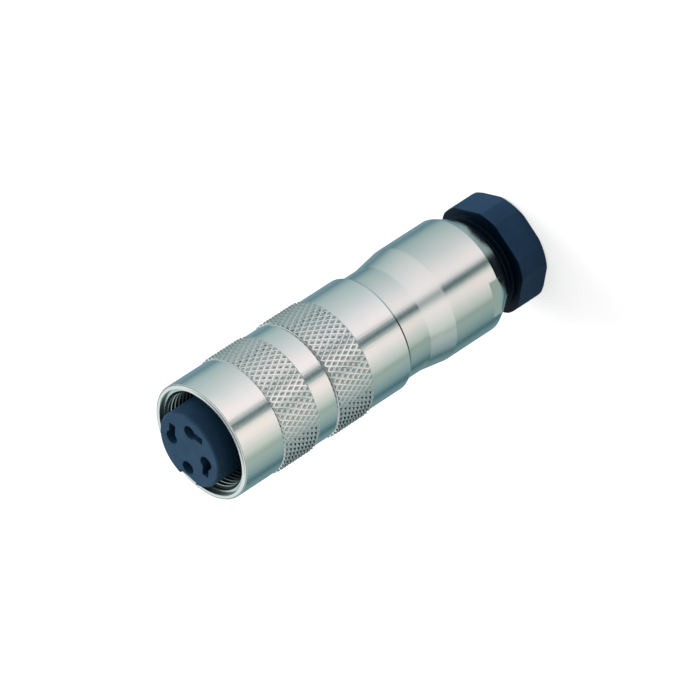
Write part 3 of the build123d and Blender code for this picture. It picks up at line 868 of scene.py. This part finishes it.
@dataclass
class FrontBody:
    """The knurled body: spigot, sleeve, knurl and the tube that carries the coupling ring."""

    knurl_radius: float = 9.5
    sleeve_radius: float = 9.2
    sleeve_length: float = 7.7
    knurl_length: float = 6.8
    spigot_radius: float = 7.75
    spigot_length: float = 3.8
    spigot_chamfer: float = 0.3
    bore_radius: float = 7.05
    tube_radius: float = 7.25
    tube_bore: float = 6.35
    tube_length: float = 9.0
    tube_chamfer: float = 0.2
    seat_depth: float = 1.4
    groove_radius: float = 6.85
    groove_setback: float = 1.1
    groove_width: float = 0.75
    knurl_gap: float = 0.14
    bevel_drop: float = 0.12
    bevel_length: float = 0.3
    edge: float = 0.07

    def build(self, finishes: Finishes) -> bpy.types.Object:
        """Builds and dresses the body.

        Args:
            finishes: The connector's finishes.

        Returns:
            The body.
        """
        low, top = levels("front_body")
        face = top - self.tube_length
        sleeve_top = face - self.knurl_length
        seam = low + self.spigot_length
        knurl = Knurl(self.knurl_radius, sleeve_top + self.knurl_gap, face - self.knurl_gap)
        shape = Shape()
        knurl.build(shape)
        groove, start, edge = knurl.end_radius, knurl.low, self.edge
        stations = wall(groove, start - KNURL_RUNOUT, sleeve_top)
        stations += [(self.sleeve_radius - edge, sleeve_top)]
        stations += wall(self.sleeve_radius, sleeve_top - edge, seam + self.bevel_length)
        stations += [(self.sleeve_radius - self.bevel_drop, seam)]
        stations += wall(self.spigot_radius, seam, low + self.spigot_chamfer)
        stations += [(self.spigot_radius - self.spigot_chamfer, low)]
        seat = face - self.seat_depth
        stations += wall(self.bore_radius, low, seat) + wall(self.tube_bore, seat, top - edge)
        shape.grow(start, [*stations, (self.tube_bore + edge, top)])
        start = knurl.high
        groove_top = top - self.groove_setback
        groove_base = groove_top - self.groove_width
        stations = [*wall(groove, start + KNURL_RUNOUT, face - edge), (groove - edge, face)]
        stations += wall(self.tube_radius, face, groove_base)
        stations += wall(self.groove_radius, groove_base, groove_top)
        stations += wall(self.tube_radius, groove_top, top - self.tube_chamfer)
        shape.grow(start, [*stations, (self.tube_radius - self.tube_chamfer, top)])
        shape.close(top)
        body = shape.finish("front_body_knurled", finishes.body_nickel, sharp=18.0)
        settle(body, Body.SHELL, Slot.HOUSING_PLATING, "front_body")
        return body


@dataclass
class RearHousing:
    """The cable housing: neck, flare, barrel with two flats, and taper."""

    neck_radius: float = 8.55
    barrel_radius: float = 9.28
    taper_end_radius: float = 8.03
    mouth_radius: float = 7.55
    mouth_chamfer: float = 0.3
    taper_length: float = 2.4
    barrel_length: float = 9.2
    flare_length: float = 4.6
    spigot_bore: float = 7.8
    stack_bore: float = 7.05
    ledge_bore: float = 4.6
    chamber_radius: float = 6.65
    thread_end: float = 15.5
    chamber_end: float = 19.8
    ledge_top: float = 21.0
    shield_top: float = 23.7
    flat_distance: float = 8.8
    flat_length: float = 4.0
    flat_angle: float = 49.6
    step_width: float = 0.03
    clearance: float = 0.1
    edge: float = 0.08

    def build(self, finishes: Finishes) -> bpy.types.Object:
        """Builds and dresses the housing.

        Args:
            finishes: The connector's finishes.

        Returns:
            The housing.
        """
        rear, front = levels("rear_housing")
        taper_top = rear + self.taper_length
        barrel_top = taper_top + self.barrel_length
        flare_top = barrel_top + self.flare_length
        shape = Shape()
        outline = [(self.mouth_radius + self.mouth_chamfer, rear), (self.taper_end_radius, rear)]
        outline += wall(self.barrel_radius, taper_top, barrel_top)
        outline += wall(self.neck_radius, flare_top, front)
        outline += wall(self.spigot_bore, front, self.shield_top)
        outline += wall(self.stack_bore, self.shield_top, self.ledge_top)
        outline += wall(self.ledge_bore, self.ledge_top, self.chamber_end)
        outline += wall(self.chamber_radius, self.chamber_end, self.thread_end)
        outline += wall(self.mouth_radius, self.thread_end, rear + self.mouth_chamfer)
        shape.turn(outline)
        widest_bore = self.spigot_bore + self.clearance
        shape.ease(self.edge, lambda middle: hypot(middle.x, middle.y) > widest_bore, sharp=5.0)
        self._cut_flats(shape, rear + self.flat_length)
        housing = shape.finish("rear_housing_turned", finishes.housing_nickel)
        settle(housing, Body.SHELL, Slot.HOUSING_PLATING, "rear_housing")
        return housing

    def _cut_flats(self, shape: Shape, top: float) -> None:
        """Mills the two spanner flats, each with a small step at its end.

        Args:
            shape: The housing.
            top: The height at which the flats end.
        """
        shape.cut((0, 0, top), (0, 0, 1), False)
        shape.cut((0, 0, top - self.step_width), (0, 0, 1), False)
        for side in (0, 180):
            angle = radians(self.flat_angle + side)
            normal = Vector((cos(angle), sin(angle), 0))
            shape.cut(normal * self.flat_distance, normal, False)
            for vertex in shape.mesh.verts:
                proud = vertex.co.dot(normal) - self.flat_distance
                if proud > 0 and vertex.co.z < top - self.step_width / 2:
                    vertex.co -= normal * proud


@dataclass
class GlandNut:
    """The pressing screw: chamfered hexagonal head, coarse thread, clamping cone and cable bore."""

    head_length: float = 5.25
    flat_distance: float = 8.25
    corner_radius: float = 8.796
    rear_chamfer: float = 0.35
    front_chamfer: float = 0.2
    chamfer_angle: float = 40.0
    flat_angle: float = 30.0
    thread_crest: float = 7.48
    thread_root: float = 6.85
    thread_pitch: float = 1.0
    thread_flanks: tuple[float, ...] = (0.14, 0.44, 0.6, 0.9)
    tip_chamfer: float = 0.4
    cone_wide: float = 6.0
    cone_narrow: float = 5.0
    cone_depth: float = 5.0
    bore_radius: float = 4.2
    mouth_flare: float = 0.9
    clearance: float = 0.2
    edge: float = 0.12

    def build(self, finishes: Finishes) -> bpy.types.Object:
        """Builds and dresses the nut.

        Args:
            finishes: The connector's finishes.

        Returns:
            The nut.
        """
        _, tip = levels("gland_nut")
        head = self.head_length
        shape = Shape()
        radii = (self.thread_root, self.thread_crest)
        shape.thread(*radii, self.thread_flanks, self.thread_pitch, head, tip)
        shape.move(lambda point: self._chamfered(point, tip))
        floor = tip - self.cone_depth
        slope = tan(radians(self.chamfer_angle))
        stations = [(self.cone_wide, tip), (self.cone_narrow, floor)]
        bore = self.bore_radius
        stations += wall(bore, floor - (self.cone_narrow - bore), self.mouth_flare)
        stations += [(bore + self.mouth_flare, 0.0), (self.corner_radius - self.rear_chamfer, 0.0)]
        stations += wall(self.corner_radius, self.rear_chamfer * slope, head - self.front_chamfer * slope)
        stations += [(self.corner_radius - self.front_chamfer, head)]
        shape.grow(tip, stations)
        shape.close(head)
        for i in range(6):
            angle = radians(self.flat_angle + 60 * i)
            normal = Vector((cos(angle), sin(angle), 0))
            rim = shape.cut(normal * self.flat_distance, normal, True)
            bmesh.ops.edgeloop_fill(shape.mesh, edges=rim)
        thread = self.thread_crest + self.clearance
        shape.ease(self.edge, lambda middle: hypot(middle.x, middle.y) > thread, sharp=20.0)
        nut = shape.finish("gland_nut_moulded", finishes.nut)
        settle(nut, Body.NUT, Slot.GLAND_PLASTIC, "gland_nut")
        return nut

    def _chamfered(self, point: Vector, tip: float) -> Vector:
        """Cuts the thread back at its tip."""
        cone = self.thread_crest - max(0.0, self.tip_chamfer - (tip - point.z))
        return at_radius(point, min(hypot(point.x, point.y), cone))


@dataclass
class ContactInsert:
    """The keyed insert: the solid's own form with its moulded edges eased."""

    edge: float = 0.09
    eased_depth: float = 0.5
    flat_angle: float = 1.0

    def build(self, finishes: Finishes) -> bpy.types.Object:
        """Builds and dresses the insert.

        Args:
            finishes: The connector's finishes.

        Returns:
            The insert.
        """
        shape = Shape()
        shape.mesh.from_mesh(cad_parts["contact_insert"].data)
        bmesh.ops.scale(shape.mesh, vec=(1 / MM, 1 / MM, 1 / MM), verts=shape.mesh.verts)
        shape.merge()
        parts = {"verts": shape.mesh.verts, "edges": shape.mesh.edges}
        bmesh.ops.dissolve_limit(shape.mesh, angle_limit=radians(self.flat_angle), **parts)
        _, face = levels("contact_insert")
        shape.ease(self.edge, lambda middle: middle.z > face - self.eased_depth, sharp=40.0)
        insert = shape.finish("contact_insert_moulded", finishes.insert, sharp=30.0)
        settle(insert, Body.SHELL, Slot.INSERT_PLASTIC, "contact_insert")
        return insert


@dataclass
class GlandSeal:
    """The rubber sleeve that the gland squeezes."""

    bore_radius: float = 3.3
    edge: float = 0.4
    long_travel: float = 4.0
    slack: float = 0.04

    def build(self, finishes: Finishes) -> bpy.types.Object:
        """Builds and dresses the seal.

        Args:
            finishes: The connector's finishes.

        Returns:
            The seal.
        """
        base, top = levels("gland_seal")
        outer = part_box("gland_seal")[1].x / MM
        shape = Shape()
        shape.turn([(self.bore_radius, base), (outer, base), (outer, top), (self.bore_radius, top)])
        shape.ease(self.edge, lambda middle: True, sharp=40.0, steps=5)
        seal = shape.finish("gland_seal_moulded", finishes.rubber)
        settle(seal, Body.SHELL, Slot.SEAL_RUBBER, "gland_seal")
        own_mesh(seal)
        return seal


@dataclass
class InnerPieces:
    """The pieces that keep their solids' shape and only get a finish."""

    contact_count: int = 4

    def dress(self, finishes: Finishes) -> None:
        """Gives each piece its material.

        Args:
            finishes: The connector's finishes.
        """
        dressed = {
            "clamping_cage": finishes.gland,
            "shield_ring": finishes.inner_nickel,
            "body_o_ring": finishes.rubber,
            "spacer_half_a": finishes.spacer,
            "spacer_half_b": finishes.spacer,
            "contact_plate": finishes.insert,
            "insert_o_ring": finishes.rubber,
            "front_seal": finishes.rubber,
            "ring_circlip": finishes.spring,
            "slip_washer": finishes.washer,
        }
        for i in range(self.contact_count):
            dressed[f"contact_{i + 1}"] = finishes.gold
        for name, material in dressed.items():
            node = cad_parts[name]
            for material_slot in node.material_slots:
                material_slot.material = material
            log.info("%s: %s", name, material.name)


@dataclass
class Studio:
    """White floor and surround, a soft lamp, and the sky and cards that turned metal reflects.

    Each stop of the sky has its height, from -1 to 1. Each card has its bearing, in degrees from the
    camera's side, positive to the lower flank in the picture.
    """

    floor_size: float = 4.0
    floor_drop: float = 0.00002
    floor_shade: float = 0.5
    floor_lift: float = 0.68
    front_fill: float = 0.26
    back_fill: float = 1.2
    fill_edge: Span = (-0.5, 0.6)
    fill_lean: float = 0.8
    key_power: float = 4.0
    key_size: float = 0.5
    key_place: tuple[float, float, float] = (0.42, 0.36, 0.75)
    key_aim: tuple[float, float, float] = (0.0, 0.0, 0.03)
    horizon: Span = (-0.42, 0.02)
    sky: tuple[Stop, ...] = (
        (-0.4, (1.36, 1.34, 1.34)),
        (-0.2, (1.34, 1.32, 1.32)),
        (-0.06, (0.2, 0.27, 0.28)),
        (0.22, (0.2, 0.27, 0.28)),
        (0.4, (0.88, 0.99, 0.98)),
        (0.66, (0.88, 0.99, 0.98)),
        (0.86, (0.3, 0.36, 0.38)),
        (1.0, (0.22, 0.28, 0.3)),
    )
    lower_ground: Colour = (0.01, 0.015, 0.02)
    upper_ground: Colour = (0.4, 0.53, 0.53)
    ground_parting: Span = (-0.04, 0.06)
    ground_edge: Span = (-0.9, -0.76)
    cards: tuple[Stop, ...] = (
        (-180, (0.2, 0.33, 0.38)),
        (-150, (0.24, 0.38, 0.44)),
        (-134, (0.15, 0.28, 0.34)),
        (-122, (0.33, 0.48, 0.5)),
        (-110, (0.46, 0.62, 0.62)),
        (-73, (0.68, 0.78, 0.78)),
        (-54, (0.82, 0.88, 0.9)),
        (-36, (1.0, 1.0, 1.01)),
        (-14, (1.2, 1.12, 1.13)),
        (-4, (1.12, 1.08, 1.08)),
        (2, (0.3, 0.42, 0.42)),
        (6, (0.0, 0.06, 0.08)),
        (10, (0.0, 0.08, 0.1)),
        (17, (0.6, 0.7, 0.68)),
        (22, (1.1, 1.06, 1.0)),
        (29, (1.17, 1.08, 1.03)),
        (40, (1.04, 1.0, 0.96)),
        (52, (0.84, 0.88, 0.83)),
        (64, (0.66, 0.75, 0.69)),
        (73, (0.5, 0.62, 0.56)),
        (76, (0.2, 0.28, 0.22)),
        (79, (0.42, 0.57, 0.52)),
        (98, (0.34, 0.47, 0.46)),
        (116, (0.2, 0.34, 0.36)),
        (127, (0.05, 0.15, 0.19)),
        (141, (0.18, 0.31, 0.33)),
        (180, (0.2, 0.33, 0.38)),
    )

    def build(self) -> None:
        """Builds the studio."""
        self._floor()
        self._world()
        self._key()
        settings = bpy.context.scene.view_settings
        settings.view_transform = "Standard"
        log.info("studio: %d cards", len(self.cards))

    def _surround(self, maker: NodeMaker, across: Signal, along: Signal, up: Signal) -> Signal:
        """What metal sees in a direction.

        The ground has a dark and a lighter half, cards stand round it by bearing, and the sky goes
        by height: pale at its low edge, then dark, bright, and dark again overhead.

        Args:
            maker: The tree's node maker.
            across: The direction's x.
            along: The direction's y.
            up: The direction's z.

        Returns:
            The colour.
        """
        bearing = maker.value("ShaderNodeMath", {"operation": "ARCTAN2"}, {0: -across, 1: -along})
        stops = [((place + 180) / 360, colour) for place, colour in self.cards]
        share = bearing / (2 * pi) + 0.5
        walls = maker.value("ShaderNodeValToRGB", {"stops": stops}, {0: share})
        ground = maker.mixed(across.smooth(*self.ground_parting), self.lower_ground, self.upper_ground)
        low = maker.mixed(up.smooth(*self.ground_edge), ground, walls)
        heights = [((height + 1) / 2, colour) for height, colour in self.sky]
        sky = maker.value("ShaderNodeValToRGB", {"stops": heights}, {0: up * 0.5 + 0.5})
        return maker.mixed(up.smooth(*self.horizon), low, sky)

    def _floor(self) -> None:
        """The floor: white to the camera and darker in the shadow. Metal sees the surround instead."""
        shape = Shape()
        bmesh.ops.create_grid(shape.mesh, x_segments=1, y_segments=1, size=self.floor_size / 2)
        bmesh.ops.translate(shape.mesh, vec=(0, 0, -self.floor_drop), verts=shape.mesh.verts)
        data = bpy.data.meshes.new("floor")
        shape.mesh.to_mesh(data)
        shape.mesh.free()
        floor = bpy.data.objects.new("floor", data)
        bpy.context.scene.collection.objects.link(floor)
        material, maker = new_material("studio_floor")
        seen, _ = maker.rays()
        lit = maker.value("ShaderNodeBsdfDiffuse", None, {0: (*[self.floor_shade] * 3, 1.0)})
        white = (1.0, 1.0, 1.0, 1.0)
        lift = maker.value("ShaderNodeEmission", None, {0: white, 1: seen * self.floor_lift})
        whole = maker.value("ShaderNodeAddShader", None, {0: lit, 1: lift})
        maker.node("ShaderNodeOutputMaterial", None, {"Surface": whole})
        data.materials.append(material)
        floor.visible_glossy = False

    def _world(self) -> None:
        """The surround: white to the camera, cards and sky to metal, and soft fill light to the rest."""
        world = bpy.data.worlds.new("studio")
        world.use_nodes = True
        bpy.context.scene.world = world
        maker = NodeMaker(world.node_tree)
        seen, mirrored = maker.rays()
        x, y, z = maker.split(maker.value("ShaderNodeTexCoord", None, None, "Generated"))
        behind = y * (1 - self.fill_lean**2) ** 0.5 + x * self.fill_lean
        share = behind.smooth(*self.fill_edge)
        fill = maker.mixed(share, (self.front_fill,) * 3, (self.back_fill,) * 3)
        mixed = maker.mixed(mirrored, fill, self._surround(maker, x, y, z))
        colour = maker.mixed(seen, mixed, (1.0, 1.0, 1.0))
        light = maker.value("ShaderNodeBackground", None, {0: colour, 1: 1.0})
        maker.node("ShaderNodeOutputWorld", None, {"Surface": light})

    def _key(self) -> None:
        """The soft lamp, pointed at the object's middle."""
        data = bpy.data.lights.new("key", "AREA")
        data.energy = self.key_power
        data.size = self.key_size
        lamp = bpy.data.objects.new("key", data)
        bpy.context.scene.collection.objects.link(lamp)
        lamp.location = self.key_place
        lamp.rotation_euler = (Vector(self.key_aim) - lamp.location).to_track_quat("-Z", "Y").to_euler()
        lamp.visible_glossy = False


@dataclass
class PhotoCamera:
    """The photograph's view: down from the mating end's side, rolled so that the axis runs aslant."""

    elevation: float = 31.5
    roll: float = -123.07
    distance: float = 1.0
    lens: float = 358.4
    target: tuple[float, float, float] = (0.0, 0.0, 0.0316)
    aside: float = -0.00013
    below: float = -0.00073

    def build(self) -> None:
        """Makes the camera and gives it to the scene."""
        data = bpy.data.cameras.new("photo_camera")
        data.lens = self.lens
        data.sensor_width = 36.0
        data.clip_start = 0.01
        camera = bpy.data.objects.new("photo_camera", data)
        bpy.context.scene.collection.objects.link(camera)
        tilt = Matrix.Rotation(radians(90 - self.elevation), 4, "X")
        turn = Matrix.Rotation(radians(self.roll), 4, "Z")
        facing = (tilt @ turn).to_3x3()
        away = facing @ Vector((self.aside, self.below, self.distance))
        camera.matrix_world = Matrix.Translation(Vector(self.target) + away) @ tilt @ turn
        bpy.context.scene.camera = camera


def main() -> None:
    """Builds the connector, its studio and its camera."""
    logging.basicConfig(level=logging.INFO, format="%(message)s")
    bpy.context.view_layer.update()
    finishes = Finishes()
    for part in (CouplingRing(), FrontBody(), RearHousing(), GlandNut(), ContactInsert(), GlandSeal()):
        piece = part.build(finishes)
        log.info("%s is in place", piece.name)
    InnerPieces().dress(finishes)
    Studio().build()
    PhotoCamera().build()


if __name__ == "__main__":
    main()
